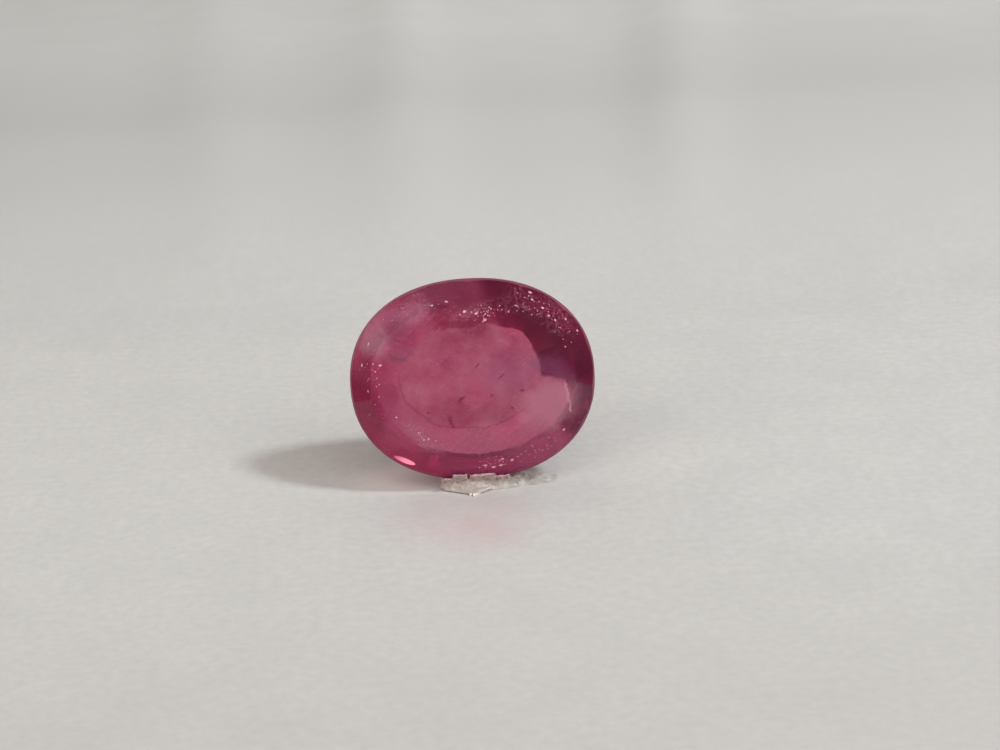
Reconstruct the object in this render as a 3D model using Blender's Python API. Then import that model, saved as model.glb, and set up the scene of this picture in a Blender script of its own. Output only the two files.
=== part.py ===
"""A faceted oval ruby that stands on its long edge in a low dab of clear adhesive.

The stone is ground from an oval blank one flat facet at a time, crown and pavilion, and then chipped along
its worn edges. The adhesive is a low mound with a flat underside and a seat for the stone.
"""

import math
import random

import bmesh
import bpy
from mathutils import Matrix, Vector, noise

MM = 0.001

# The stone in its own frame: x along its length, y across it, z out through the table, the girdle at z = 0.
LENGTH = 10.0 * MM
WIDTH = 8.2 * MM
OUTLINE_POWER = 2.2  # 2 would be an ellipse, more gives fuller shoulders
GIRDLE_SIDES = 96
GIRDLE = 0.26 * MM
BLANK_DEPTH = 12.0 * MM
FACETS_ROUND = 16

# Each profile runs inwards from the girdle as (inset from the outline, height from the girdle's edge).
CROWN_PROFILE = ((0.0, 0.0), (0.17 * MM, 0.28 * MM), (0.95 * MM, 1.0 * MM))
PAVILION_PROFILE = ((0.0, 0.0), (0.72 * MM, 1.28 * MM), (2.08 * MM, 2.62 * MM), (4.1 * MM, 3.62 * MM))
CROWN_INSET_AT_ENDS = 0.94  # the crown's insets are smaller at the two ends than along the sides
CROWN_INSET_AT_SIDES = 1.15
CULET_WIDTH = 0.32 * MM
HAND_TURN = math.radians(1.6)  # how far a facet strays from its even place round the stone
HAND_SLOPE = math.radians(1.1)
SEED = 11

# How the stone is held: its table faces -Y and looks a little upwards.
LEAN = math.radians(17.0)
STONE_LIFT = 0.36 * MM  # lowest point of the stone above the floor

# Chips and pits on the crown side: position on the stone in mm, then the size in mm.
CHIPS = (
    (2.55, 3.38, 0.20),
    (2.62, 3.08, 0.15),
    (3.02, 2.72, 0.17),
    (3.25, 2.40, 0.15),
    (3.50, 2.20, 0.13),
    (3.93, 2.22, 0.17),
    (4.38, 1.72, 0.13),
    (1.95, 2.88, 0.13),
    (0.66, 2.38, 0.12),
    (0.33, 2.66, 0.12),
    (-0.15, 2.76, 0.14),
    (-0.86, 3.20, 0.15),
    (-1.45, 3.08, 0.14),
    (-4.12, 1.68, 0.13),
    (-4.44, 0.82, 0.15),
    (-3.68, 0.78, 0.12),
    (-4.24, -0.24, 0.12),
    (-3.15, -1.36, 0.13),
    (0.34, -3.54, 0.17),
    (0.66, -3.63, 0.15),
    (0.97, -3.57, 0.15),
    (1.05, -3.30, 0.14),
    (1.43, -3.37, 0.15),
    (3.60, -2.26, 0.14),
)
NICKS = ((67.5, 0.22), (-88.0, 0.18), (129.0, 0.13))  # notches in the girdle: angle in degrees, size in mm
CHIP_FLATNESS = 0.55

# The adhesive: overlapping lumps as (x, y, half length, half width, height), in mm from the stone's lowest edge.
LUMPS = (
    (0.12, 0.40, 1.42, 1.62, 1.05),
    (1.28, 0.35, 1.15, 1.30, 0.72),
    (2.50, 0.45, 1.15, 1.00, 0.26),
    (0.15, 2.05, 1.45, 1.65, 1.45),
)
LUMP_ROUGHNESS = 0.09
SEAT_GAP = 0.05 * MM


def clear_scene():
    for obj in list(bpy.data.objects):
        bpy.data.objects.remove(obj)


def new_collection(name, hidden=False):
    collection = bpy.data.collections.new(name)
    bpy.context.scene.collection.children.link(collection)
    collection.hide_render = hidden
    return collection


def material(name, rgb, roughness):
    made = bpy.data.materials.new(name)
    made.use_nodes = True
    made.diffuse_color = (*rgb, 1.0)
    shader = made.node_tree.nodes["Principled BSDF"]
    shader.inputs["Base Color"].default_value = (*rgb, 1.0)
    shader.inputs["Roughness"].default_value = roughness
    shader.inputs["Metallic"].default_value = 0.0
    return made


def add_object(name, body, collection, look=None):
    mesh = bpy.data.meshes.new(name)
    body.to_mesh(mesh)
    body.free()
    obj = bpy.data.objects.new(name, mesh)
    collection.objects.link(obj)
    if look:
        mesh.materials.append(look)
    return obj


def combine(obj, helper, operation):
    """Cuts a hidden helper from the object, or joins it on."""
    helper.display_type = "WIRE"
    helper.hide_render = True
    boolean = obj.modifiers.new(helper.name, "BOOLEAN")
    boolean.operation = operation
    boolean.solver = "EXACT"
    boolean.object = helper


def outline(turn):
    """The point of the oval at this angle, and the direction straight out of the oval there."""
    c, s = math.cos(turn), math.sin(turn)
    along = math.copysign(abs(c) ** (2 / OUTLINE_POWER), c)
    across = math.copysign(abs(s) ** (2 / OUTLINE_POWER), s)
    point = Vector((along * LENGTH / 2, across * WIDTH / 2, 0.0))
    steep = OUTLINE_POWER - 1
    out = Vector(
        (
            math.copysign(abs(along) ** steep, along) / LENGTH,
            math.copysign(abs(across) ** steep, across) / WIDTH,
            0.0,
        )
    )
    return point, out.normalized()


def tier(profile, step, side, chance):
    """The planes of one ring of facets: side is 1 on the crown and -1 on the pavilion."""
    (inset, height), (next_inset, next_height) = profile[step], profile[step + 1]
    planes = []
    for index in range(FACETS_ROUND):
        turn = math.tau * (index + 0.5 * (step % 2)) / FACETS_ROUND
        point, out = outline(turn + chance.uniform(-HAND_TURN, HAND_TURN))
        reach = 1.0
        if side > 0:
            reach = CROWN_INSET_AT_ENDS + (CROWN_INSET_AT_SIDES - CROWN_INSET_AT_ENDS) * out.y**2
        slope = math.atan2(next_height - height, (next_inset - inset) * reach)
        slope += chance.uniform(-HAND_SLOPE, HAND_SLOPE) * (step > 0)
        normal = out * math.sin(slope) + Vector((0, 0, side)) * math.cos(slope)
        planes.append((point - out * inset * reach + Vector((0, 0, side * (GIRDLE / 2 + height))), normal))
    return planes


def facet_planes():
    """Every facet as a point on it and its outward normal, in the order they are ground."""
    chance = random.Random(SEED)
    planes = []
    for step in range(len(CROWN_PROFILE) - 1):
        planes += tier(CROWN_PROFILE, step, 1, chance)
    for step in range(len(PAVILION_PROFILE) - 1):
        planes += tier(PAVILION_PROFILE, step, -1, chance)
    table_height = GIRDLE / 2 + CROWN_PROFILE[-1][1]
    planes.append((Vector((0, 0, table_height)), Vector((0, 0, 1))))
    keel_slope = math.atan2(
        PAVILION_PROFILE[-1][1] - PAVILION_PROFILE[-2][1], PAVILION_PROFILE[-1][0] - PAVILION_PROFILE[-2][0]
    )
    culet_depth = GIRDLE / 2 + PAVILION_PROFILE[-1][1] - CULET_WIDTH / 2 * math.tan(keel_slope)
    planes.append((Vector((0, 0, -culet_depth)), Vector((0, 0, -1))))
    return planes


def oval_blank(grown):
    """A prism of the girdle's outline, moved outwards by grown."""
    body = bmesh.new()
    ring = []
    for index in range(GIRDLE_SIDES):
        point, out = outline(math.tau * (index + 0.5) / GIRDLE_SIDES)
        ring.append(body.verts.new(point + out * grown - Vector((0, 0, BLANK_DEPTH / 2))))
    base = body.faces.new(ring)
    grown_up = bmesh.ops.extrude_face_region(body, geom=[base])
    top = [item for item in grown_up["geom"] if isinstance(item, bmesh.types.BMVert)]
    bmesh.ops.translate(body, verts=top, vec=(0, 0, BLANK_DEPTH))
    return body


def grind(body, point, normal):
    """Takes off what lies beyond the plane and closes the cut with one flat facet."""
    everything = body.verts[:] + body.edges[:] + body.faces[:]
    made = bmesh.ops.bisect_plane(
        body, geom=everything, dist=1e-8, plane_co=point, plane_no=normal, clear_outer=True
    )
    rim = [item for item in made["geom_cut"] if isinstance(item, bmesh.types.BMEdge)]
    if rim:
        bmesh.ops.edgeloop_fill(body, edges=rim)


def stone_body(grown=0.0):
    """The faceted stone. Grown is how far every face is moved outwards, for the seat in the adhesive."""
    body = oval_blank(grown)
    for point, normal in facet_planes():
        grind(body, point + normal * grown, normal)
    bmesh.ops.remove_doubles(body, verts=body.verts[:], dist=2e-6)
    bmesh.ops.recalc_face_normals(body, faces=body.faces[:])
    return body


def crown_height(x, y):
    """Height of the crown's surface over this place of the stone."""
    heights = []
    for point, normal in facet_planes():
        if normal.z > 0.01:
            away = (x - point.x) * normal.x + (y - point.y) * normal.y
            heights.append(point.z - away / normal.z)
    return min(heights)


def add_splinter(body, place, size, chance):
    """One small angular lump, the shape that a chip leaves behind."""
    spin = Matrix.Rotation(chance.uniform(0, math.tau), 4, "Z")
    stretch = Matrix.Diagonal((chance.uniform(0.8, 1.5), 1.0, CHIP_FLATNESS, 1.0))
    tip = Matrix.Rotation(chance.uniform(-0.5, 0.5), 4, "X")
    where = Matrix.Translation(place) @ spin @ tip @ stretch
    bmesh.ops.create_icosphere(body, subdivisions=1, radius=size / 2, matrix=where)


def chip_body():
    """All chips and girdle notches, to be cut from the stone."""
    chance = random.Random(SEED + 1)
    body = bmesh.new()
    for x, y, size in CHIPS:
        x, y, size = x * MM, y * MM, size * MM
        add_splinter(body, Vector((x, y, crown_height(x, y))), size, chance)
    for degrees, size in NICKS:
        rim, _ = outline(math.radians(degrees))
        add_splinter(body, rim + Vector((0, 0, 0.4 * GIRDLE)), size * MM, chance)
    return body


def placing(body):
    """From the stone's own frame to where it stands, with its lowest edge over the origin."""
    turned = Matrix.Rotation(math.pi / 2 - LEAN, 4, "X")
    foot = min((turned @ vert.co for vert in body.verts), key=lambda point: point.z)
    return Matrix.Translation((0, -foot.y, STONE_LIFT - foot.z)) @ turned


def lump_body(x, y, half_length, half_width, height):
    """One rounded lump of adhesive, uneven all over, cut flat where it meets the floor."""
    body = bmesh.new()
    bmesh.ops.create_icosphere(body, subdivisions=3, radius=1.0)
    for vert in body.verts:
        uneven = 1 + LUMP_ROUGHNESS * noise.noise(vert.co * 1.7 + Vector((x, y, 3.1)))
        uneven += 0.5 * LUMP_ROUGHNESS * noise.noise(vert.co * 4.3 + Vector((y, x, 7.7)))
        vert.co = vert.co * uneven
    bmesh.ops.scale(body, verts=body.verts[:], vec=(half_length * MM, half_width * MM, height * MM))
    bmesh.ops.translate(body, verts=body.verts[:], vec=(x * MM, y * MM, 0))
    grind(body, Vector((0, 0, 0)), Vector((0, 0, -1)))
    return body


def centre(objects):
    """Moves the meshes so that the whole object's box is centred over the origin and stands on z = 0."""
    bpy.context.view_layer.update()
    graph = bpy.context.evaluated_depsgraph_get()
    points = []
    for obj in objects:
        points += [Vector(corner) for corner in obj.evaluated_get(graph).bound_box]
    middle_x = (min(p.x for p in points) + max(p.x for p in points)) / 2
    middle_y = (min(p.y for p in points) + max(p.y for p in points)) / 2
    shift = Matrix.Translation((-middle_x, -middle_y, 0))
    for obj in bpy.data.objects:
        obj.data.transform(shift)
        obj.data.update()


clear_scene()
pieces = new_collection("oval_ruby")
cutters = new_collection("cutters", hidden=True)
ruby_look = material("ruby", (0.33, 0.035, 0.09), 0.06)
glue_look = material("clear_adhesive", (0.78, 0.75, 0.73), 0.18)

stone = stone_body()
place = placing(stone)
stone.transform(place)
ruby = add_object("ruby", stone, pieces, ruby_look)
chips = chip_body()
chips.transform(place)
combine(ruby, add_object("chip_cutter", chips, cutters), "DIFFERENCE")

glue = add_object("glue_dab", lump_body(*LUMPS[0]), pieces, glue_look)
for number, lump in enumerate(LUMPS[1:], 2):
    combine(glue, add_object(f"lump_{number}", lump_body(*lump), cutters), "UNION")
seat = stone_body(SEAT_GAP)
seat.transform(place)
combine(glue, add_object("seat_cutter", seat, cutters), "DIFFERENCE")
centre([ruby, glue])
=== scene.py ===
"""Looks of a faceted oval ruby that stands in a dab of clear adhesive, seen close up."""

import math
import random

import bmesh
import bpy
from mathutils import Matrix, Vector, noise


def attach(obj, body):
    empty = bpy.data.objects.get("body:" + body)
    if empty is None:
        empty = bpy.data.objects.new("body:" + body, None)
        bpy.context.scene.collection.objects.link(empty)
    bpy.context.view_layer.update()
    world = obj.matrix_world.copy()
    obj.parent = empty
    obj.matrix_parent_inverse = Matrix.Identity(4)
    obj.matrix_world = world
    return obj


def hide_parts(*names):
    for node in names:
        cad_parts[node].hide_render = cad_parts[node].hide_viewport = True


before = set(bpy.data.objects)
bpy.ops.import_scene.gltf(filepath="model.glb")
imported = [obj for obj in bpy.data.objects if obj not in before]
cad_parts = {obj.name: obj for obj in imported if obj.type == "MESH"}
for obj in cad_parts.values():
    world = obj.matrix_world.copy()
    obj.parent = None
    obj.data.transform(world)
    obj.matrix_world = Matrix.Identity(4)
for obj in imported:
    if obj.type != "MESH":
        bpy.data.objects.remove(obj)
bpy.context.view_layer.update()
MM = 0.001
shown = bpy.context.scene.collection

# Camera. A close view from a hand's breadth away, looking a little down on the stone and held slightly
# out of level, so that the stone's long axis rises to the right.
PIXELS_PER_MM = 24.44
PICTURE_WIDTH, PICTURE_HEIGHT = 1000, 750
SENSOR_WIDTH = 36.0
DISTANCE = 100 * MM
PITCH = math.radians(19.0)
ROLL = math.radians(3.3)
GIRDLE_CENTRE = Vector((0.0, -0.605, 4.320)) * MM
GIRDLE_PIXEL = (472.4, 378.4)
ahead = Vector((0, math.cos(PITCH), -math.sin(PITCH)))
level = Vector((1, 0, 0))
upright = level.cross(ahead)
rightwards = level * math.cos(ROLL) - upright * math.sin(ROLL)
upwards = upright * math.cos(ROLL) + level * math.sin(ROLL)
aside = (GIRDLE_PIXEL[0] - PICTURE_WIDTH / 2) / PIXELS_PER_MM * MM
above = (PICTURE_HEIGHT / 2 - GIRDLE_PIXEL[1]) / PIXELS_PER_MM * MM
camera_data = bpy.data.cameras.new("camera")
camera_data.sensor_width = SENSOR_WIDTH
camera_data.lens = SENSOR_WIDTH * DISTANCE * PIXELS_PER_MM / (PICTURE_WIDTH * MM)
camera_data.clip_start = 0.005
camera_data.clip_end = 5.0
camera = bpy.data.objects.new("camera", camera_data)
shown.objects.link(camera)
turned = Matrix((rightwards, upwards, -ahead)).transposed().to_4x4()
stand = GIRDLE_CENTRE - ahead * DISTANCE - rightwards * aside - upwards * above
camera.matrix_world = Matrix.Translation(stand) @ turned
bpy.context.scene.camera = camera
bpy.context.scene.view_settings.view_transform = "Standard"


# Room light. A room that is bright in front of the stone, dim overhead and at its sides and half bright
# behind it, and one soft lamp up on the right that throws the shadow to the left.
def colour(hex_code):
    """An sRGB hex colour as linear RGBA."""
    parts = [int(hex_code[i : i + 2], 16) / 255 for i in (0, 2, 4)]
    return (*[p / 12.92 if p <= 0.04045 else ((p + 0.055) / 1.055) ** 2.4 for p in parts], 1.0)


def add(holder, kind, inputs, **settings):
    """Adds one node to a material or world. Each input is a value, or the node or socket that feeds it."""
    made = holder.node_tree.nodes.new("ShaderNode" + kind)
    for name, value in settings.items():
        setattr(made, name, value)
    for name, value in inputs.items():
        if isinstance(value, bpy.types.Node):
            value = value.outputs[0]
        if isinstance(value, bpy.types.NodeSocket):
            holder.node_tree.links.new(value, made.inputs[name])
        else:
            made.inputs[name].default_value = value
    return made


def bands(holder, feed, stops):
    """A ramp of colours over a number from 0 to 1. Stops are (place, hex colour)."""
    ramp = add(holder, "ValToRGB", {"Fac": feed})
    elements = ramp.color_ramp.elements
    while len(elements) < len(stops):
        elements.new(0.5)
    for element, (place, hex_code) in zip(elements, stops):
        element.position = place
        element.color = colour(hex_code)
    return ramp


# Tones of the room from the camera's side, at 0, to the far side behind the stone, at 1
ROOM_TONES = (
    (0.0, "423E3C"),
    (0.025, "54504E"),
    (0.09, "D2CDCA"),
    (0.275, "FFFAF6"),
    (0.33, "3A3735"),
    (0.63, "3A3735"),
    (0.69, "AEAAA6"),
    (1.0, "AEAAA6"),
)
ROOM_STRENGTH = 1.92
room = bpy.data.worlds.new("dim_room")
bpy.context.scene.world = room
room.use_nodes = True
room.node_tree.nodes.clear()
towards = add(room, "TexCoord", {})
depth = add(room, "SeparateXYZ", {"Vector": towards.outputs["Generated"]})
front_to_back = add(room, "MapRange", {"Value": depth.outputs["Y"], "From Min": -1.0, "From Max": 1.0})
walls = bands(room, front_to_back, ROOM_TONES)
background = add(room, "Background", {"Color": walls, "Strength": ROOM_STRENGTH})
add(room, "OutputWorld", {"Surface": background})

LAMP_HEIGHT = math.radians(47)
LAMP_AHEAD = math.radians(24)  # the lamp stands this far round to the front from due right
LAMP_DISTANCE = 0.55
lamp_data = bpy.data.lights.new("soft_lamp", "AREA")
lamp_data.shape = "DISK"
lamp_data.size = 0.085
lamp_data.energy = 1.55
lamp_data.color = (0.88, 0.98, 1.0)
lamp = bpy.data.objects.new("soft_lamp", lamp_data)
shown.objects.link(lamp)
to_lamp = Vector((math.cos(LAMP_AHEAD), -math.sin(LAMP_AHEAD), math.tan(LAMP_HEIGHT))).normalized()
aimed = to_lamp.to_track_quat("Z", "Y").to_matrix().to_4x4()
lamp.matrix_world = Matrix.Translation(to_lamp * LAMP_DISTANCE) @ aimed


# Paper. One large sheet of matte white paper that lies flat under the stone and rises behind it in a low
# swell with soft folds. Uncoated fibre paper is fully rough, with a fine soft grain of about 0.4 mm.
def new_material(name):
    """An empty material."""
    made = bpy.data.materials.new(name)
    made.use_nodes = True
    made.node_tree.nodes.clear()
    return made


def over(holder, under, hex_code, mask):
    """A colour laid over another where the mask is 1."""
    mixed = add(holder, "Mix", {"Factor": mask, "A": under, "B": colour(hex_code)}, data_type="RGBA")
    return mixed.outputs["Result"]


def times(holder, *feeds):
    """The product of several masks or numbers."""
    product = feeds[0]
    for feed in feeds[1:]:
        product = add(holder, "Math", {0: product, 1: feed}, operation="MULTIPLY")
    return product


def new_piece(name, body, *materials):
    """Turns a bmesh into an object that shows."""
    mesh = bpy.data.meshes.new(name)
    body.to_mesh(mesh)
    body.free()
    for item in materials:
        mesh.materials.append(item)
    made = bpy.data.objects.new(name, mesh)
    shown.objects.link(made)
    return made


PAPER_HEIGHT = 0.008 * MM  # the adhesive is pressed into the paper by this much
SHEET_EDGES = (-350, 350)
SHEET_COLUMNS = 900
FOLD_WIDTH = 9.0
FOLD_SEED = 5.3
# Soft folds that fan out over the raised part, as (x at the stone, half width, height), in mm
FOLDS = ((-10.1, 2.7, 0.5), (-2.5, 2.8, 0.7), (8.7, 2.4, 0.7))
FAN = 106  # the folds are twice as far apart at this distance behind the stone
# The sheet's section from front to back as (y, height), in mm
SWELL = ((-350, 0), (20, 0), (22.5, 0.3), (25, 1.1), (27.5, 2.5), (30, 4.2), (32.5, 5.6), (35, 6.6), (38, 7))
SWELL += ((50, 7), (62, 7), (75, 7), (90, 7), (104, 4), (118, 0), (350, 0))
TOP = max(height for y, height in SWELL)
GRAIN = 0.42 * MM
GRAIN_DEPTH = 0.03 * MM
MOTTLE = 3.5 * MM
# Painted light: a faint pink cast painted on the paper in front, for light that comes through the stone
PINK_LIGHT_CENTRE = (-0.6 * MM, -5.6 * MM, 0)
PINK_LIGHT_REACH = (3.6 * MM, 4.4 * MM, 1.0)
# Painted light: a lighter patch painted into the stone's shadow here, for light that comes down through the
# stone
PAINTED_LIGHT_CENTRE = (-2.7 * MM, -0.3 * MM, 0)
PAINTED_LIGHT_REACH = (3.0 * MM, 2.2 * MM, 1.0)
paper = new_material("uncoated_white_paper")
place = add(paper, "TexCoord", {}).outputs["Object"]


def pool(holder, centre, reach):
    """1 in the middle of an oval on the floor, fading to 0 at its edge."""
    fitted = add(
        holder, "Mapping", {"Vector": place, "Location": centre, "Scale": reach}, vector_type="TEXTURE"
    )
    return add(holder, "TexGradient", {"Vector": fitted}, gradient_type="SPHERICAL").outputs["Fac"]


def rising(holder, feed, start, end, top):
    """0 before the start, growing to the top value at the end. In mm."""
    limits = {"From Min": start * MM, "From Max": end * MM, "To Max": top}
    return add(holder, "MapRange", {"Value": feed, **limits})


fibre = add(paper, "TexNoise", {"Vector": place, "Scale": 1 / GRAIN, "Detail": 4.0})
mottle = add(paper, "TexNoise", {"Vector": place, "Scale": 1 / MOTTLE, "Detail": 5.0})
mottled = add(paper, "MapRange", {"Value": mottle, "From Min": 0.35, "From Max": 0.65, "To Max": 0.2})
patchy = {"From Min": 0.35, "From Max": 0.6, "To Min": 0.35, "To Max": 0.85}
patchy = add(paper, "MapRange", {"Value": mottle, **patchy})
across = add(paper, "SeparateXYZ", {"Vector": place})
# Painted shade: the paper is darker behind the stone, a little less dark far behind it, darker near the
# camera and darker still off to the left behind the stone
behind = rising(paper, across.outputs["Y"], 18, 32, 1.0)
far = rising(paper, across.outputs["Y"], 40, 60, 1.0)
near = rising(paper, across.outputs["Y"], -8, -22, 0.3)
off_left = rising(paper, across.outputs["X"], -5, -40, 0.24)
painted_light_share = add(paper, "MapRange", {"Value": pool(paper, PAINTED_LIGHT_CENTRE, PAINTED_LIGHT_REACH), "From Max": 0.6})
tone = bands(paper, fibre, ((0.3, "CBC8C5"), (0.7, "D4D1CF"))).outputs[0]
# Painted shade behind and far behind the stone
tone = over(paper, tone, "BFBDBB", behind)
tone = over(paper, tone, "CAC8C6", far)
tone = over(paper, tone, "BDBBB9", mottled)
# Painted light: the pink cast in front of the stone
tone = over(paper, tone, "D0B2B3", times(paper, pool(paper, PINK_LIGHT_CENTRE, PINK_LIGHT_REACH), patchy))
# Painted light: the lighter patch in the stone's shadow
tone = over(paper, tone, "E8E1DE", painted_light_share)
# Painted shade near the camera and off to the left behind the stone
tone = over(paper, tone, "BDB8B4", near)
tone = over(paper, tone, "9A9692", times(paper, behind, off_left))
relief = add(paper, "Bump", {"Height": fibre, "Strength": 0.35, "Distance": GRAIN_DEPTH})
matte = add(paper, "BsdfPrincipled", {"Base Color": tone, "Roughness": 0.95, "Normal": relief})
matte.inputs["Specular IOR Level"].default_value = 0.2
add(paper, "OutputMaterial", {"Surface": matte})
body = bmesh.new()
left, right = SHEET_EDGES
columns = [left + (right - left) * step / SHEET_COLUMNS for step in range(SHEET_COLUMNS + 1)]
rows = []
for y, z in SWELL:
    raised = z / TOP
    row = []
    spread = 1 + y / FAN
    for x in columns:
        fold = 0.3 * noise.noise(Vector((x / FOLD_WIDTH, y / 60, FOLD_SEED)))
        for middle, half_width, height in FOLDS:
            fold += height * math.exp(-(((x - middle * spread) / half_width) ** 2))
        row.append(body.verts.new((x * MM, y * MM, (z + raised * fold) * MM + PAPER_HEIGHT)))
    rows.append(row)
for low, high in zip(rows, rows[1:]):
    for index in range(SHEET_COLUMNS):
        body.faces.new((low[index], low[index + 1], high[index + 1], high[index])).smooth = True
sheet = new_piece("paper_sheet", body, paper)


# Ruby. One oval corundum crystal, ground flat facet by facet on crown and pavilion and polished. It is
# milky and full of fine fractures, its facet edges are worn round, and small chips are missing. It lies flat
# while it is ground, with its girdle round the origin and its table up, and is stood up at the end.
LENGTH = 10.0 * MM
WIDTH = 8.2 * MM
OUTLINE_POWER = 2.2
GIRDLE_SIDES = 192
GIRDLE = 0.26 * MM
ROUGH_HEIGHT = 12 * MM  # the oval prism that the facets are ground from
FACETS_ROUND = 16
BREAK_FACETS = 96  # the edge between girdle and crown is worn round, so its facets no longer show
CROWN_PROFILE = ((0.0, 0.0), (0.07 * MM, 0.19 * MM), (0.95 * MM, 1.0 * MM))
PAVILION_PROFILE = ((0.0, 0.0), (0.72 * MM, 1.28 * MM), (2.08 * MM, 2.62 * MM), (4.1 * MM, 3.62 * MM))
CROWN_INSET_AT_ENDS = 0.94
CROWN_INSET_AT_SIDES = 1.15
CULET_WIDTH = 0.32 * MM
CROWN_DROOP = math.radians(7.0)  # the crown's facets at both ends sit lower than an even spacing puts them
HAND_TURN = math.radians(1.6)
HAND_SLOPE = math.radians(1.1)
LEAN = math.radians(17.0)
EDGE_WEAR = 0.022 * MM
SHARP = math.radians(7)  # an edge between facets that turn by more than this has worn round
# Chips in the crown as (x, y, size) and notches in the girdle as (angle in degrees, size), in mm
CHIPS = (
    (2.55, 3.38, 0.15),
    (2.62, 3.08, 0.15),
    (3.02, 2.72, 0.13),
    (3.25, 2.40, 0.12),
    (3.50, 2.20, 0.13),
    (3.93, 2.22, 0.17),
    (4.38, 1.72, 0.13),
    (1.95, 2.88, 0.13),
    (0.66, 2.38, 0.12),
    (0.33, 2.66, 0.12),
    (-0.15, 2.76, 0.14),
    (-0.86, 3.20, 0.15),
    (-1.45, 3.08, 0.14),
    (-4.12, 1.68, 0.13),
    (-4.44, 0.82, 0.15),
    (-3.68, 0.78, 0.12),
    (-4.24, -0.24, 0.12),
    (-3.15, -1.36, 0.07),
    (0.34, -3.54, 0.17),
    (0.66, -3.63, 0.15),
    (0.97, -3.57, 0.15),
    (1.05, -3.30, 0.14),
    (1.43, -3.37, 0.15),
    (3.60, -2.26, 0.14),
)
NICKS = ((67.5, 0.22), (-88.0, 0.18), (129.0, 0.13))
NICK_HEIGHT = 0.4 * GIRDLE
CHIP_STRETCH, CHIP_FLATNESS, CHIP_TIP = (0.8, 1.5), 0.55, 0.5
# A flat spot on the lower left edge with a painted glow, standing in for light from inside, with a bright
# core
GLOW, GLOW_SIZE = (-2.93 * MM, -3.17 * MM), (1.0 * MM, 0.28 * MM, 0.10 * MM)
GLOW_TILT, GLOW_SLOPE = -26, math.radians(40)
GLOW_CORE, GLOW_CORE_REACH = (-2.82, -3.22), (0.40, 0.12)
# Where the pavilion's flattest facets show through the table, with a painted dark line along its edge, and
# the table's own edge, in mm
WINDOW, WINDOW_REACH = (-0.07, 0.17), (2.86, 2.15)
WINDOW_RIM_OUTER, WINDOW_RIM_INNER = (2.93, 2.20), (2.84, 2.11)
TABLE, TABLE_REACH = (0.1, -0.1), (3.94, 2.9)
# A ragged crack crosses the pale crescent at its right end, as (direction in degrees, distance in mm), with
# a pale lip on its near side
TEAR = (8, 3.72)
TEAR_LIP = (8, 3.62)
TEAR_LIP_CENTRE, TEAR_LIP_REACH = (3.8, -0.95), (0.6, 0.6)
# The painted shade of the dark upper right lies beyond two fronts, as (direction, distance, fade), and
# outside a bulge
DARK_ABOVE = (74, 0.80, 0.18)
DARK_RIGHT = (14, 1.45, 0.8)
BULGE, BULGE_REACH, BULGE_TILT = (1.6, 1.2), (0.98, 0.74), -35
# Painted light and shade of the facets round the window and on the crown outside the table, and milky clouds
# and stains that are partly painted light and shade, anywhere in the crystal, as (centre, half sizes, tilt in
# degrees, share of the half size that the edge fades over, colour, strength), in mm
RING_LIGHT_AND_SHADE = (
    ((-0.1, 3.6), (2.9, 0.9), 0, 0.8, "943C5E", 0.85),
    ((-4.1, 0.0), (1.5, 1.3), 0, 0.8, "CA4A7A", 0.75),
    ((-3.3, -2.2), (2.2, 0.8), -48, 0.8, "D45E8A", 0.7),
    ((-2.8, 1.9), (0.7, 1.2), 12, 0.8, "AA5078", 0.6),
)
OUTER_LIGHT_AND_SHADE = (
    ((-0.4, -4.0), (3.0, 1.5), 0, 0.6, "A03E6E", 0.9),
    ((2.9, -3.1), (1.9, 0.9), 30, 0.8, "A8567C", 0.8),
    ((4.4, -1.0), (1.1, 1.7), -15, 0.4, "602448", 0.95),
    ((-4.6, -1.2), (0.9, 1.6), 10, 0.6, "B23462", 0.8),
    ((-2.6, -3.3), (1.6, 0.5), -30, 0.8, "C03C6E", 0.8),
)
PATCHES = (
    ((3.1, -1.2), (1.2, 0.8), 30, 1.0, "F8AEC8", 0.65),
    ((3.3, 0.25), (0.9, 0.4), -25, 1.0, "A0588C", 0.45),
    ((-3.85, 1.85), (0.5, 0.7), 15, 1.2, "F4B4CC", 0.6),
    ((-2.3, 2.75), (0.8, 0.45), 35, 1.2, "E89CBC", 0.5),
    ((-3.3, 2.7), (0.5, 0.4), 40, 1.0, "D898B8", 0.4),
    ((-2.82, 1.2), (0.42, 0.24), -10, 1.0, "9A6A80", 0.6),
    ((-1.75, 2.3), (0.45, 0.35), 20, 1.0, "A04E74", 0.5),
    ((-1.05, 2.73), (0.55, 0.3), 10, 0.9, "A02850", 0.7),
    ((0.0, 2.45), (1.3, 0.28), 3, 0.8, "982450", 0.75),
    ((0.4, 2.1), (0.6, 0.3), -4, 0.9, "9C2450", 0.4),
    ((-0.03, 1.75), (1.4, 0.5), 8, 1.2, "B84068", 0.55),
    ((-0.2, -1.4), (1.8, 0.5), 0, 1.2, "BC4870", 0.5),
    ((-2.15, -2.2), (1.1, 0.25), -32, 1.2, "F4A8C0", 0.15),
    ((1.6, 0.2), (1.0, 0.8), 0, 1.4, "C480A6", 0.45),
)
# Crazed places, full of tiny cracks that catch the light, as the zones above
CRAZED = (
    ((-2.15, -2.15), (1.05, 0.2), -32, 0.7, "FFB8CC", 0.55),
    ((-0.1, -2.3), (1.6, 0.5), 5, 1.2, "FFC0D0", 0.25),
    ((0.9, 2.75), (1.6, 0.35), 4, 0.8, "F0A0BC", 0.45),
    ((3.0, 2.6), (1.5, 0.5), -38, 0.8, "E8A0BC", 0.65),
    ((-3.95, 1.85), (0.5, 0.6), 15, 1.0, "FFE0EA", 0.4),
    ((-2.3, 2.9), (0.9, 0.4), 25, 1.0, "FFD0DE", 0.4),
    ((0.9, -3.3), (1.2, 0.4), 0, 0.8, "F098B4", 0.5),
)
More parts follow.
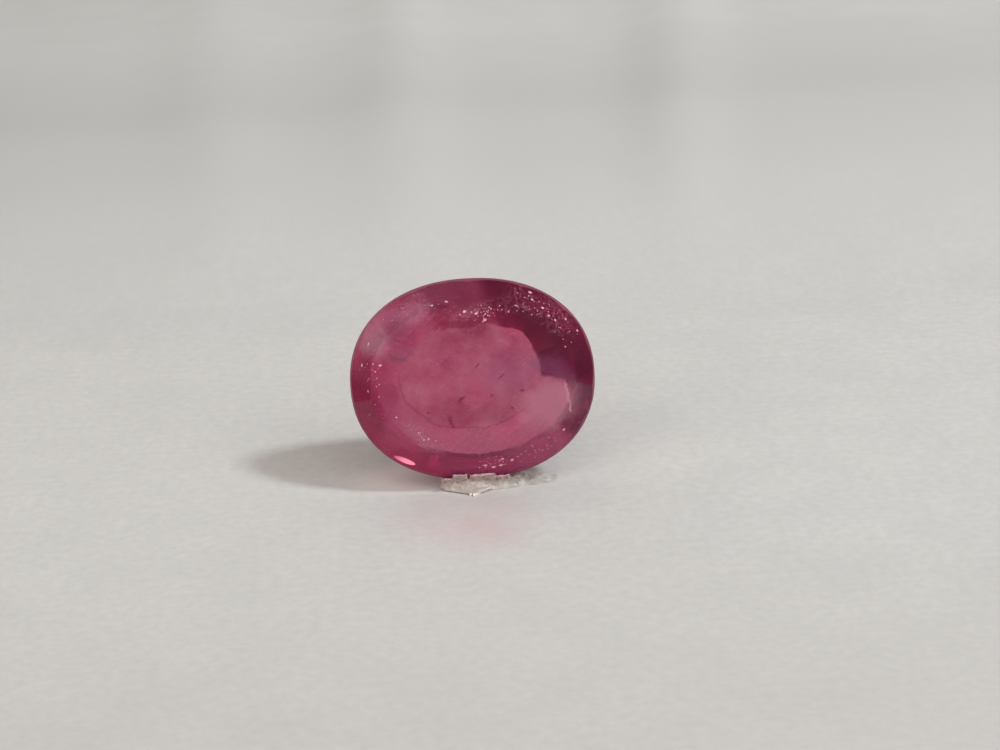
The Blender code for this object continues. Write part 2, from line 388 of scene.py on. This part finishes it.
# Dark flecks as (x, y, length, width, tilt in degrees), in mm
FLECKS = (
    (-0.46, -0.79, 0.34, 0.12, 50),
    (-0.95, -1.59, 0.12, 0.34, 0),
    (-0.85, -1.85, 0.07, 0.22, 10),
    (1.97, -0.58, 0.16, 0.12, 0),
    (0.76, -0.72, 0.14, 0.09, 30),
    (1.62, -1.25, 0.14, 0.08, 0),
    (-1.87, -1.29, 0.12, 0.08, 0),
    (0.20, 0.55, 0.26, 0.05, 35),
    (1.20, 0.10, 0.22, 0.05, 40),
)
# Fields of pits left by wear, as (x, y, half length, half width, tilt in degrees, how many), in mm
PIT_FIELDS = (
    (0.9, 2.65, 1.3, 0.30, 4, 34),
    (2.9, 2.75, 1.1, 0.45, -35, 30),
    (4.0, 1.6, 0.6, 0.5, -50, 8),
    (-2.4, 2.9, 1.3, 0.35, 22, 10),
    (-4.1, 0.6, 0.4, 1.3, 0, 20),
    (-2.1, -2.2, 0.95, 0.14, -32, 12),
    (0.9, -3.4, 0.8, 0.35, 0, 26),
    (2.6, -2.9, 1.0, 0.30, 30, 18),
)
PIT_SIZES = (0.03, 0.06)


def outline(turn):
    """The point of the oval at this angle, and the direction straight out of the oval there."""
    c, s = math.cos(turn), math.sin(turn)
    along = math.copysign(abs(c) ** (2 / OUTLINE_POWER), c)
    across = math.copysign(abs(s) ** (2 / OUTLINE_POWER), s)
    steep = OUTLINE_POWER - 1
    out_x = math.copysign(abs(along) ** steep, along) / LENGTH
    out_y = math.copysign(abs(across) ** steep, across) / WIDTH
    return Vector((along * LENGTH / 2, across * WIDTH / 2, 0)), Vector((out_x, out_y, 0)).normalized()


def tier(profile, step, side, sides, chance):
    """The planes of one ring of facets: side is 1 on the crown and -1 on the pavilion."""
    (inset, height), (next_inset, next_height) = profile[step], profile[step + 1]
    planes = []
    for index in range(sides):
        turn = math.tau * (index + 0.5 * (step % 2)) / sides
        if side > 0 and chance:
            turn -= CROWN_DROOP * math.cos(turn)
        if chance:
            turn += chance.uniform(-HAND_TURN, HAND_TURN)
        point, out = outline(turn)
        reach = 1.0
        if side > 0:
            reach = CROWN_INSET_AT_ENDS + (CROWN_INSET_AT_SIDES - CROWN_INSET_AT_ENDS) * out.y**2
        slope = math.atan2(next_height - height, (next_inset - inset) * reach)
        if chance:
            slope += chance.uniform(-HAND_SLOPE, HAND_SLOPE) * (step > 0)
        normal = out * math.sin(slope) + Vector((0, 0, side)) * math.cos(slope)
        planes.append((point - out * inset * reach + Vector((0, 0, side * (GIRDLE / 2 + height))), normal))
    return planes


chance = random.Random(11)
facets = tier(PAVILION_PROFILE, 0, -1, FACETS_ROUND, chance)
facets += tier(CROWN_PROFILE, 1, 1, FACETS_ROUND, chance)
for step in (1, 2):
    facets += tier(PAVILION_PROFILE, step, -1, FACETS_ROUND, chance)
facets += tier(CROWN_PROFILE, 0, 1, BREAK_FACETS, None)
TABLE_HEIGHT = GIRDLE / 2 + CROWN_PROFILE[-1][1]
facets.append((Vector((0, 0, TABLE_HEIGHT)), Vector((0, 0, 1))))
(inner, shallow), (centre_line, deep) = PAVILION_PROFILE[-2:]
culet_depth = GIRDLE / 2 + deep - CULET_WIDTH / 2 * (deep - shallow) / (centre_line - inner)
facets.append((Vector((0, 0, -culet_depth)), Vector((0, 0, -1))))


def grind(body, point, normal):
    """Takes off what lies beyond the plane and closes the cut with one flat facet."""
    everything = body.verts[:] + body.edges[:] + body.faces[:]
    made = bmesh.ops.bisect_plane(
        body, geom=everything, dist=1e-8, plane_co=point, plane_no=normal, clear_outer=True
    )
    rim = [item for item in made["geom_cut"] if isinstance(item, bmesh.types.BMEdge)]
    if rim:
        bmesh.ops.edgeloop_fill(body, edges=rim)


def ground_oval(extra):
    """The faceted stone lying flat, with its girdle round the origin. Extra is added all round."""
    body = bmesh.new()
    ring = []
    for index in range(GIRDLE_SIDES):
        point, out = outline(math.tau * (index + 0.5) / GIRDLE_SIDES)
        ring.append(body.verts.new(point + out * extra - Vector((0, 0, ROUGH_HEIGHT / 2))))
    raised = bmesh.ops.extrude_face_region(body, geom=[body.faces.new(ring)])
    top = [item for item in raised["geom"] if isinstance(item, bmesh.types.BMVert)]
    bmesh.ops.translate(body, verts=top, vec=(0, 0, ROUGH_HEIGHT))
    for point, normal in facets:
        grind(body, point + normal * extra, normal)
    bmesh.ops.remove_doubles(body, verts=body.verts[:], dist=2e-6)
    bmesh.ops.recalc_face_normals(body, faces=body.faces[:])
    return body


body = ground_oval(0)
sharp = [edge for edge in body.edges if edge.calc_face_angle(0) > SHARP]
bmesh.ops.bevel(
    body, geom=sharp, offset=EDGE_WEAR, segments=2, profile=0.5, affect="EDGES", clamp_overlap=True
)

POLISHED, GROUND, CHIPPED, LIT, GIRDLED = range(5)
STEEPEST_BELOW, STEEPEST_ABOVE = -0.3, 0.55  # faces between these slopes belong to the girdle
for face in body.faces:
    if STEEPEST_BELOW < face.normal.z < STEEPEST_ABOVE:
        face.material_index = GIRDLED
    elif face.normal.z < 0:
        face.material_index = GROUND


def crown_height(x, y):
    """Height of the crown's surface over this place of the stone."""
    heights = []
    for point, normal in facets:
        if normal.z > 0.01:
            away = (x - point.x) * normal.x + (y - point.y) * normal.y
            heights.append(point.z - away / normal.z)
    return min(heights)


def add_splinter(holder, place, size, chance):
    """One small angular lump, the shape that a chip leaves behind."""
    spin = Matrix.Rotation(chance.uniform(0, math.tau), 4, "Z")
    stretch = Matrix.Diagonal((chance.uniform(*CHIP_STRETCH), 1.0, CHIP_FLATNESS, 1.0))
    tip = Matrix.Rotation(chance.uniform(-CHIP_TIP, CHIP_TIP), 4, "X")
    bmesh.ops.create_icosphere(
        holder, subdivisions=1, radius=size / 2, matrix=Matrix.Translation(place) @ spin @ tip @ stretch
    )


chance = random.Random(12)
chips = bmesh.new()
for x, y, size in CHIPS:
    add_splinter(chips, Vector((x * MM, y * MM, crown_height(x * MM, y * MM))), size * MM, chance)
for degrees, size in NICKS:
    rim, _ = outline(math.radians(degrees))
    add_splinter(chips, rim + Vector((0, 0, NICK_HEIGHT)), size * MM, chance)
glow = bmesh.new()
lying = Matrix.Translation((*GLOW, crown_height(*GLOW))) @ Matrix.Rotation(math.radians(GLOW_TILT), 4, "Z")
lying = lying @ Matrix.Rotation(GLOW_SLOPE, 4, "X") @ Matrix.Diagonal((*GLOW_SIZE, 1.0))
bmesh.ops.create_icosphere(glow, subdivisions=2, radius=0.5, matrix=lying)
pits = bmesh.new()
for x, y, half_length, half_width, tilt, count in PIT_FIELDS:
    field = Matrix.Translation((x * MM, y * MM, 0)) @ Matrix.Rotation(math.radians(tilt), 4, "Z")
    for _ in range(count):
        spread = Vector((chance.gauss(0, 0.5) * half_length, chance.gauss(0, 0.5) * half_width, 0)) * MM
        place = field @ spread
        place.z = crown_height(place.x, place.y)
        add_splinter(pits, place, chance.uniform(*PIT_SIZES) * MM, chance)
stands = Matrix.Translation(GIRDLE_CENTRE) @ Matrix.Rotation(math.pi / 2 - LEAN, 4, "X")
for solid in (body, chips, glow, pits):
    solid.transform(stands)

# Milky ruby, polished on the crown: smooth and glossy, with a body that lets some light through. Its index of
# refraction is corundum's 1.77, and its own red tints what it mirrors.
ruby_look = new_material("polished_milky_ruby")


def on_stone(holder):
    """Coordinates in mm in the stone's own frame: x along it, y across it, z out through the table."""
    raw = add(holder, "TexCoord", {})
    return add(
        holder,
        "Mapping",
        {
            "Vector": raw.outputs["Object"],
            "Location": GIRDLE_CENTRE,
            "Rotation": (math.pi / 2 - LEAN, 0, 0),
            "Scale": (MM, MM, MM),
        },
        vector_type="TEXTURE",
    )


where = on_stone(ruby_look)


def strayed(holder, feed, size, amount):
    """The same coordinates pushed about by noise, so that an edge drawn with them is ragged. Both in mm."""
    wander = add(holder, "TexNoise", {"Vector": feed, "Scale": 1 / size, "Detail": 4.0, "Roughness": 0.65})
    wander = wander.outputs["Color"]
    centred = add(holder, "VectorMath", {0: wander, 1: (0.5, 0.5, 0.5)}, operation="SUBTRACT")
    scaled = add(holder, "VectorMath", {0: centred, "Scale": amount * 2}, operation="SCALE")
    return add(holder, "VectorMath", {0: feed, 1: scaled}, operation="ADD")


def beyond(holder, feed, direction, start, fade):
    """1 on the far side of a straight front across the stone and 0 on the near side. Degrees and mm."""
    turn = math.radians(direction)
    reach = add(
        holder, "VectorMath", {0: feed, 1: (math.cos(turn), math.sin(turn), 0)}, operation="DOT_PRODUCT"
    )
    limits = {"From Min": start - fade / 2, "From Max": start + fade / 2}
    return add(
        holder, "MapRange", {"Value": reach.outputs["Value"], **limits}, interpolation_type="SMOOTHSTEP"
    )


def patch(holder, feed, centre, radii, tilt, fade):
    """1 inside a tilted oval of the stone and 0 outside it. Fade is a share of the oval's radius."""
    fitted = add(
        holder,
        "Mapping",
        {
            "Vector": feed,
            "Location": (*centre, 0),
            "Rotation": (0, 0, math.radians(tilt)),
            "Scale": (*radii, 1000),
        },
        vector_type="TEXTURE",
    )
    length = add(holder, "VectorMath", {0: fitted}, operation="LENGTH")
    limits = {"From Min": 1 + fade / 2, "From Max": 1 - fade / 2}
    return add(
        holder, "MapRange", {"Value": length.outputs["Value"], **limits}, interpolation_type="SMOOTHSTEP"
    )


def flipped(holder, feed):
    """A mask with inside and outside changed over."""
    return add(holder, "Math", {0: 1.0, 1: feed}, operation="SUBTRACT")


def streaks(holder, feed, direction, width, length):
    """Fine parallel needles, 0 to 1, that run in this direction. In degrees and mm."""
    lined_up = add(
        holder,
        "Mapping",
        {"Vector": feed, "Rotation": (0, 0, math.radians(direction)), "Scale": (length, width, width)},
        vector_type="TEXTURE",
    )
    fine = add(holder, "TexNoise", {"Vector": lined_up, "Scale": 1.0, "Detail": 2.0, "Roughness": 0.5})
    return add(holder, "MapRange", {"Value": fine, "From Min": 0.48, "From Max": 0.72})


ragged = strayed(ruby_look, where, 0.9, 0.20)
window = patch(ruby_look, strayed(ruby_look, where, 0.5, 0.08), WINDOW, WINDOW_REACH, 0, 0.07)
table = patch(ruby_look, strayed(ruby_look, where, 0.35, 0.07), TABLE, TABLE_REACH, 0, 0.03)
ring = flipped(ruby_look, window)
soft_ring = flipped(ruby_look, patch(ruby_look, ragged, WINDOW, WINDOW_REACH, 0, 0.35))
cloud = add(ruby_look, "TexNoise", {"Vector": where, "Scale": 0.8, "Detail": 7.0, "Roughness": 0.62})
tint = bands(ruby_look, cloud, ((0.30, "D2628A"), (0.5, "E27C9C"), (0.70, "F09AB4"))).outputs[0]
# Painted light and shade of the facets round the window
for centre, reach, tilt, fade, hex_code, strength in RING_LIGHT_AND_SHADE:
    mask = times(ruby_look, soft_ring, patch(ruby_look, ragged, centre, reach, tilt, fade), strength)
    tint = over(ruby_look, tint, hex_code, mask)
torn = strayed(ruby_look, where, 0.45, 0.20)
past_tear = beyond(ruby_look, torn, *TEAR, 0.05)
outside = flipped(ruby_look, times(ruby_look, table, flipped(ruby_look, past_tear)))
# Painted light and shade of the crown's facets outside the table
for centre, reach, tilt, fade, hex_code, strength in OUTER_LIGHT_AND_SHADE:
    mask = times(ruby_look, outside, patch(ruby_look, ragged, centre, reach, tilt, fade), strength)
    tint = over(ruby_look, tint, hex_code, mask)
before_tear = flipped(ruby_look, past_tear)
# Painted light: a pale crescent inside the table, below and right of the window
crescent = times(ruby_look, table, ring, beyond(ruby_look, ragged, -65, 0.2, 1.6), before_tear)
tint = over(ruby_look, tint, "DE789C", times(ruby_look, crescent, 0.9))
lip = times(ruby_look, before_tear, beyond(ruby_look, torn, *TEAR_LIP, 0.08))
lip = times(ruby_look, lip, patch(ruby_look, where, TEAR_LIP_CENTRE, TEAR_LIP_REACH, 0, 0.4), 0.75)
tint = over(ruby_look, tint, "FFE6EC", lip)
# Painted shade: the upper right of the ring is darkened, beyond two fronts and outside a bulge
painted_dark_side = times(
    ruby_look,
    ring,
    beyond(ruby_look, strayed(ruby_look, where, 0.6, 0.10), *DARK_ABOVE),
    beyond(ruby_look, ragged, *DARK_RIGHT),
    flipped(ruby_look, patch(ruby_look, ragged, BULGE, BULGE_REACH, BULGE_TILT, 0.12)),
)
tint = over(ruby_look, tint, "742846", times(ruby_look, painted_dark_side, 0.97))
cloudy = strayed(ruby_look, where, 1.3, 0.7)
# Milky clouds and stains, partly painted light and shade
for centre, reach, tilt, fade, hex_code, strength in PATCHES:
    mask = times(ruby_look, patch(ruby_look, cloudy, centre, reach, tilt, fade), strength)
    tint = over(ruby_look, tint, hex_code, mask)
# Painted shade: a faint dark line along the lower edge of the window
window_rim = times(
    ruby_look,
    patch(ruby_look, ragged, WINDOW, WINDOW_RIM_OUTER, 0, 0.03),
    flipped(ruby_look, patch(ruby_look, ragged, WINDOW, WINDOW_RIM_INNER, 0, 0.03)),
    beyond(ruby_look, where, -110, 0.6, 1.2),
)
tint = over(ruby_look, tint, "7A1E48", times(ruby_look, window_rim, 0.25))
cracks = add(ruby_look, "TexNoise", {"Vector": torn, "Scale": 8.0, "Detail": 5.0, "Roughness": 0.7})
cracks = add(ruby_look, "MapRange", {"Value": cracks, "From Min": 0.50, "From Max": 0.66})
up_in_stone = add(ruby_look, "SeparateXYZ", {"Vector": where}).outputs["Z"]
crown_limits = {"From Min": -0.3, "From Max": 0.2, "To Min": 0.2}  # crazing is fainter below the girdle
cracks = times(ruby_look, cracks, add(ruby_look, "MapRange", {"Value": up_in_stone, **crown_limits}))
for centre, reach, tilt, fade, hex_code, strength in CRAZED:
    mask = times(ruby_look, patch(ruby_look, cloudy, centre, reach, tilt, fade), cracks, strength)
    tint = over(ruby_look, tint, hex_code, mask)
silk = times(ruby_look, streaks(ruby_look, where, 38, 0.05, 0.9), streaks(ruby_look, where, -22, 0.06, 0.7))
silk = times(ruby_look, silk, flipped(ruby_look, times(ruby_look, painted_dark_side, 0.8)))
tint = over(ruby_look, tint, "FFD6E0", times(ruby_look, silk, 0.35))
silk = times(ruby_look, streaks(ruby_look, ragged, 38, 0.05, 1.6), crescent)
tint = over(ruby_look, tint, "FFD6E0", times(ruby_look, silk, 0.12))
for x, y, length, width, tilt in FLECKS:
    mask = patch(ruby_look, torn, (x, y), (length / 2, width / 2), tilt, 1.2)
    tint = over(ruby_look, tint, "8A1E48", times(ruby_look, mask, 0.6))
body_of_stone = add(
    ruby_look,
    "BsdfPrincipled",
    {"Base Color": tint, "Roughness": 0.05, "IOR": 1.77, "Transmission Weight": 0.62},
)
body_of_stone.inputs["Specular IOR Level"].default_value = 0.25
body_of_stone.inputs["Specular Tint"].default_value = (0.62, 0.28, 0.36, 1.0)
PASSED_PER_MM = (0.985, 0.84, 0.915)  # share of red, green and blue light left after a millimetre of stone
loss = [-math.log(share) / MM for share in PASSED_PER_MM]
absorbing = add(ruby_look, "VolumeAbsorption", {})
absorbing.inputs["Color"].default_value = (*[1 - part / max(loss) for part in loss], 1.0)
absorbing.inputs["Density"].default_value = max(loss)
add(ruby_look, "OutputMaterial", {"Surface": body_of_stone, "Volume": absorbing})


def variant(look, name, values):
    """A copy of a material with some of its shader's own values changed, and the copy's shader node."""
    made = look.copy()
    made.name = name
    shader = next(node for node in made.node_tree.nodes if node.type == "BSDF_PRINCIPLED")
    for socket, value in values.items():
        shader.inputs[socket].default_value = value
    return made, shader


# The pavilion is ground finely but hardly polished, so it is a little dull, and the same milky ruby otherwise
dull = {"Roughness": 0.15, "Specular IOR Level": 0.5, "Specular Tint": (1.0, 0.8, 0.88, 1.0)}
back_look, _ = variant(ruby_look, "ground_milky_ruby", dull)
# The girdle is worn and frosted, so it glows a soft pink and mirrors nothing
frosted = {"Roughness": 0.3, "Specular IOR Level": 0.0, "Specular Tint": (0.55, 0.15, 0.26, 1.0)}
rim_look, rim_shader = variant(ruby_look, "worn_ruby_girdle", frosted)
shade = rim_shader.inputs["Base Color"].links[0].from_socket
rim_look.node_tree.links.new(over(rim_look, shade, "B8406E", 0.6), rim_shader.inputs["Base Color"])
# Broken ruby is a rough white-pink powder of tiny faces, so a chip looks paler than the stone
chip_look = new_material("freshly_chipped_ruby")
grit = add(chip_look, "TexNoise", {"Vector": on_stone(chip_look), "Scale": 22.0, "Detail": 3.0})
broken = bands(chip_look, grit, ((0.35, "D88CA8"), (0.6, "F6D4DE")))
chipped = add(chip_look, "BsdfPrincipled", {"Base Color": broken, "Roughness": 0.35, "IOR": 1.77})
add(chip_look, "OutputMaterial", {"Surface": chipped})


def combine(target, other, operation, overlapping=False):
    """Cuts another piece out of this one, or joins it on, and takes the other one away."""
    mod = target.modifiers.new(operation.lower(), "BOOLEAN")
    mod.operation = operation
    mod.solver = "EXACT"
    mod.use_self = overlapping
    mod.object = other
    graph = bpy.context.evaluated_depsgraph_get()
    result = bpy.data.meshes.new_from_object(target.evaluated_get(graph))
    target.modifiers.clear()
    target.data = result
    bpy.data.objects.remove(other)


# Painted light: a dull facet painted bright pink, with a faint glow hottest in its core, standing in for the
# stone's own light coming out through it
glow_look = new_material("rough_ruby_painted_glow")
graze = add(glow_look, "TexNoise", {"Vector": on_stone(glow_look), "Scale": 9.0, "Detail": 3.0})
glowing = bands(glow_look, graze, ((0.4, "E0487A"), (0.62, "EE6C94"))).outputs[0]
uneven = strayed(glow_look, on_stone(glow_look), 0.2, 0.05)
core = patch(glow_look, uneven, GLOW_CORE, GLOW_CORE_REACH, GLOW_TILT, 1.2)
glowing = over(glow_look, glowing, "FF9CB8", core)
shining = times(glow_look, core, 0.38)
lit = add(
    glow_look,
    "BsdfPrincipled",
    {"Base Color": glowing, "Roughness": 0.4, "IOR": 1.77, "Emission Strength": shining},
)
lit.inputs["Emission Color"].default_value = colour("FF6E98")
add(glow_look, "OutputMaterial", {"Surface": lit})

looks = (ruby_look, back_look, chip_look, glow_look, rim_look)
stone = new_piece("oval_ruby", body, *looks)
cutters = (("glow_cutter", glow, LIT), ("chip_cutter", chips, CHIPPED), ("pit_cutter", pits, CHIPPED))
for name, solid, index in cutters:
    for face in solid.faces:
        face.material_index = index
    combine(stone, new_piece(name, solid, *looks), "DIFFERENCE", True)
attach(stone, "root")
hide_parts("ruby")

# Adhesive. A low dab of clear, soft glue, pressed down by hand under the stone's edge. It has wrinkled as it
# set, and thin lips of it were squeezed up against the face of the stone.
# Lumps as (x, y, half length, half width, height), slab corners as (x, y, height) and lips as (x, length,
# height, thickness, tilt in degrees), in mm from the middle of the dab under the stone's lowest edge.
LUMPS = (
    (0.20, 0.75, 1.30, 1.40, 1.00),
    (1.20, 0.55, 1.20, 1.10, 0.50),
    (2.45, 0.55, 1.15, 0.85, 0.05),
    (0.15, 2.05, 1.43, 1.63, 1.44),
)
SLAB = (
    (-1.24, 0.55, 0.50),
    (-1.27, -0.15, 0.46),
    (-1.12, -0.42, 0.42),
    (-0.55, -0.72, 0.34),
    (0.16, -1.12, 0.16),
    (0.58, -0.76, 0.18),
    (1.35, -0.28, 0.15),
    (2.05, 0.25, 0.07),
    (2.40, 0.75, 0.04),
)
SLAB_LIFT = 0.05
SLAB_TAPER, SLAB_SETBACK, SLAB_SLOPE = 0.98, 0.03, 0.4  # how its top draws in from its lower edge
DAB_X = -0.29 * MM
LIPS = (
    (-0.98, 0.34, 0.12, 0.09, -8),
    (-0.46, 0.60, 0.30, 0.09, -3),
    (0.50, 1.05, 0.27, 0.09, 3),
    (1.36, 0.52, 0.16, 0.07, 9),
    (1.82, 0.44, 0.05, 0.05, 15),
)
LIP_LEAN = math.radians(36)
LIP_Y, LIP_FOOT, LIP_ROOT = -0.43, 0.36, 0.35  # where they stand, and how deep they reach into the slab
# Faces of the lips lie above this height and between these limits along and across the dab, in mm
LIP_START, LIP_ALONG, LIP_ACROSS = 0.42, (-1.2, 2.3), (-0.8, -0.2)
LIP_UP, LIP_ASIDE = 0.55, 0.75  # those that look further up or aside than this get the painted highlight
SMEAR_START, SMEAR_WAVER = 1.25, 0.4
DROP_START = 0.6
SEAT_GAP = 0.02 * MM
GEL_GRAIN = 0.032 * MM
WRINKLE, WRINKLE_SIZE = 0.045, 0.24
BACK_START, BACK_SHARE = -0.9 * MM, 0.35  # behind this the wrinkles are only a third as deep
# Clear gel with a faint milky haze: half of the light goes in, and the smooth skin shines
gel = new_material("clear_soft_adhesive")
place = add(gel, "TexCoord", {})
haze = add(
    gel,
    "TexNoise",
    {"Vector": place.outputs["Object"], "Scale": 1 / (0.16 * MM), "Detail": 5.0, "Roughness": 0.6},
)
milkiness = bands(gel, haze, ((0.36, "E2CCC2"), (0.50, "ECDCD4"), (0.62, "F6ECE4")))
clear = add(
    gel,
    "BsdfPrincipled",
    {"Base Color": milkiness, "Roughness": 0.10, "IOR": 1.47, "Transmission Weight": 0.5},
)
add(gel, "OutputMaterial", {"Surface": clear})


def recolour(shader, darkest, lightest):
    """Gives the ends of a shader's colour bands other colours."""
    steps = shader.inputs["Base Color"].links[0].from_node.color_ramp.elements
    steps[0].color = colour(darkest)
    steps[-1].color = colour(lightest)


# Painted light: the lips are painted pink, standing in for the stone's light seen through them
film, film_shader = variant(gel, "thin_clear_adhesive_lips", {"Transmission Weight": 0.55})
recolour(film_shader, "C890A0", "F0C8D0")
# The drop behind the stone is clearer and glossier, and painted whiter: painted light that lifts the shade it
# lies in
drop, drop_shader = variant(gel, "clear_adhesive_drop", {"Transmission Weight": 0.6, "Roughness": 0.05})
recolour(drop_shader, "F4ECE8", "FFFFFF")
# Where it lies thinnest the adhesive has soaked into the paper: greyer, flat and a little dull
smear = new_material("adhesive_dried_thin_on_paper")
place = add(smear, "TexCoord", {})
haze = add(smear, "TexNoise", {"Vector": place.outputs["Object"], "Scale": 1 / (0.3 * MM), "Detail": 5.0})
dried = bands(smear, haze, ((0.36, "AEA6A1"), (0.62, "CCC6C2")))
soaked = add(smear, "BsdfPrincipled", {"Base Color": dried, "Roughness": 0.35, "IOR": 1.47})
add(smear, "OutputMaterial", {"Surface": soaked})
# Painted highlight: the tops and side edges of the lips are painted whitish where they catch the light
edge_highlight = new_material("adhesive_edge_painted_highlight")
place = add(edge_highlight, "TexCoord", {})
haze = add(edge_highlight, "TexNoise", {"Vector": place.outputs["Object"], "Scale": 1 / (0.1 * MM), "Detail": 4.0})
whitish = bands(edge_highlight, haze, ((0.40, "C8A8AC"), (0.62, "FFFFFF")))
edge = add(
    edge_highlight,
    "BsdfPrincipled",
    {"Base Color": whitish, "Roughness": 0.25, "IOR": 1.47, "Transmission Weight": 0.5},
)
add(edge_highlight, "OutputMaterial", {"Surface": edge})


def wrinkled(body, amount, size):
    """Pushes every vertex in or out a little, in soft ridges that are faint behind. In mm."""
    body.normal_update()
    for vert in body.verts:
        spot = vert.co / (size * MM)
        ridge = 1 - 2 * abs(noise.noise(spot + Vector((4.0, 1.0, 9.0))))
        push = 0.6 * ridge * ridge + 0.5 * noise.noise(spot * 2.3)
        thick = min(1.0, 0.2 + vert.co.z / (0.3 * MM)) * (1.0 if vert.co.y < BACK_START else BACK_SHARE)
        vert.co += vert.normal * amount * MM * (push - 0.3) * thick


foot = min((vert.co for vert in stone.data.vertices), key=lambda point: point.z).copy()
foot.x, foot.z = DAB_X, 0
body = bmesh.new()
for x, y, half_length, half_width, height in LUMPS:
    made = bmesh.ops.create_icosphere(body, subdivisions=4, radius=1.0)
    for vert in made["verts"]:
        uneven = 1 + 0.09 * noise.noise(vert.co * 1.7 + Vector((x, y, 3.1)))
        size = Vector((half_length, half_width, height)) * uneven
        vert.co = foot + Vector((x + vert.co.x * size.x, y + vert.co.y * size.y, vert.co.z * size.z)) * MM
under = [body.verts.new(foot + Vector((x, y, SLAB_LIFT)) * MM) for x, y, height in SLAB]
above = []
for x, y, height in SLAB:
    corner = Vector((x * SLAB_TAPER, y + SLAB_SETBACK + SLAB_SLOPE * height, height))
    above.append(body.verts.new(foot + corner * MM))
body.faces.new(under[::-1])
body.faces.new(above)
for index in range(len(SLAB)):
    after = (index + 1) % len(SLAB)
    body.faces.new((under[index], under[after], above[after], above[index]))
for x, length, height, thickness, tilt in LIPS:
    turned = Matrix.Rotation(LIP_LEAN, 4, "X") @ Matrix.Rotation(math.radians(-tilt), 4, "Y")
    size = Matrix.Diagonal((length, thickness, height + LIP_ROOT, 1))
    made = bmesh.ops.create_cube(body, size=1.0, matrix=size)
    lifted = Vector((x, LIP_Y, LIP_FOOT + height / 2))
    for vert in made["verts"]:
        vert.co = foot + (turned @ vert.co + lifted) * MM
bmesh.ops.recalc_face_normals(body, faces=body.faces[:])
GEL, FILM, EDGE_HIGHLIGHT, SMEAR, DROP = range(5)
dab = new_piece("adhesive_dab", body, gel, film, edge_highlight, smear, drop)
mod = dab.modifiers.new("grain", "REMESH")
mod.mode = "VOXEL"
mod.voxel_size = GEL_GRAIN
mod.use_smooth_shade = True
graph = bpy.context.evaluated_depsgraph_get()
fine = bpy.data.meshes.new_from_object(dab.evaluated_get(graph))
dab.modifiers.clear()
body = bmesh.new()
body.from_mesh(fine)
wrinkled(body, WRINKLE, WRINKLE_SIZE)
grind(body, Vector((0, 0, 0)), Vector((0, 0, -1)))
for face in body.faces:
    spot = (face.calc_center_median() - foot) / MM
    beside_stone = LIP_ALONG[0] < spot.x < LIP_ALONG[1] and LIP_ACROSS[0] < spot.y < LIP_ACROSS[1]
    squeezed_up = spot.z > LIP_START and beside_stone
    if squeezed_up and face.normal.z < LIP_UP and abs(face.normal.x) < LIP_ASIDE:
        face.material_index = FILM
    # Painted highlight on the lips' tops and side edges
    elif squeezed_up:
        face.material_index = EDGE_HIGHLIGHT
    elif spot.x > SMEAR_START + SMEAR_WAVER * noise.noise(spot * 3.0):
        face.material_index = SMEAR
    elif spot.y > DROP_START:
        face.material_index = DROP
body.to_mesh(dab.data)
body.free()
seat = ground_oval(SEAT_GAP)
seat.transform(stands)
combine(dab, new_piece("seat_cutter", seat, gel), "DIFFERENCE")
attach(dab, "root")
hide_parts("glue_dab")

# Crumbs. Small uneven grains of the same adhesive in front of the dab, nearly white to stand for the lamp's
# glints
# on the creased gel: painted highlights. They lie loose on the paper. Each as (x, y, size), in mm from the
# middle of the dab.
CRUMBS = (
    (-0.05, -1.02, 0.11),
    (0.10, -1.10, 0.13),
    (0.21, -1.00, 0.12),
    (0.31, -0.92, 0.10),
    (-0.72, -0.55, 0.06),
)
# Painted highlight: the crumbs are nearly white, with a soft shine
crumb_look = new_material("adhesive_crumbs_painted_glints")
place = add(crumb_look, "TexCoord", {})
crusted = add(crumb_look, "TexNoise", {"Vector": place.outputs["Object"], "Scale": 9000.0})
shade = bands(crumb_look, crusted, ((0.4, "EFE8DC"), (0.6, "FFFFFF")))
dried = add(crumb_look, "BsdfPrincipled", {"Base Color": shade, "Roughness": 0.22, "IOR": 1.5})
add(crumb_look, "OutputMaterial", {"Surface": dried})
body = bmesh.new()
for x, y, size in CRUMBS:
    made = bmesh.ops.create_icosphere(body, subdivisions=2, radius=size / 2 * MM)
    for vert in made["verts"]:
        uneven = 1 + 0.5 * noise.noise(vert.co / MM * 14 + Vector((x * 9, y * 7, 1)))
        vert.co = foot + Vector((x, y, size * 0.45)) * MM + vert.co * uneven
crumbs = new_piece("adhesive_crumbs", body, crumb_look)
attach(crumbs, "root")

# Light has to pass many facets to find its way out of the stone and the gel
cycles = bpy.context.scene.cycles
cycles.max_bounces = 24
cycles.transmission_bounces = 20
cycles.glossy_bounces = 12
cycles.transparent_max_bounces = 24
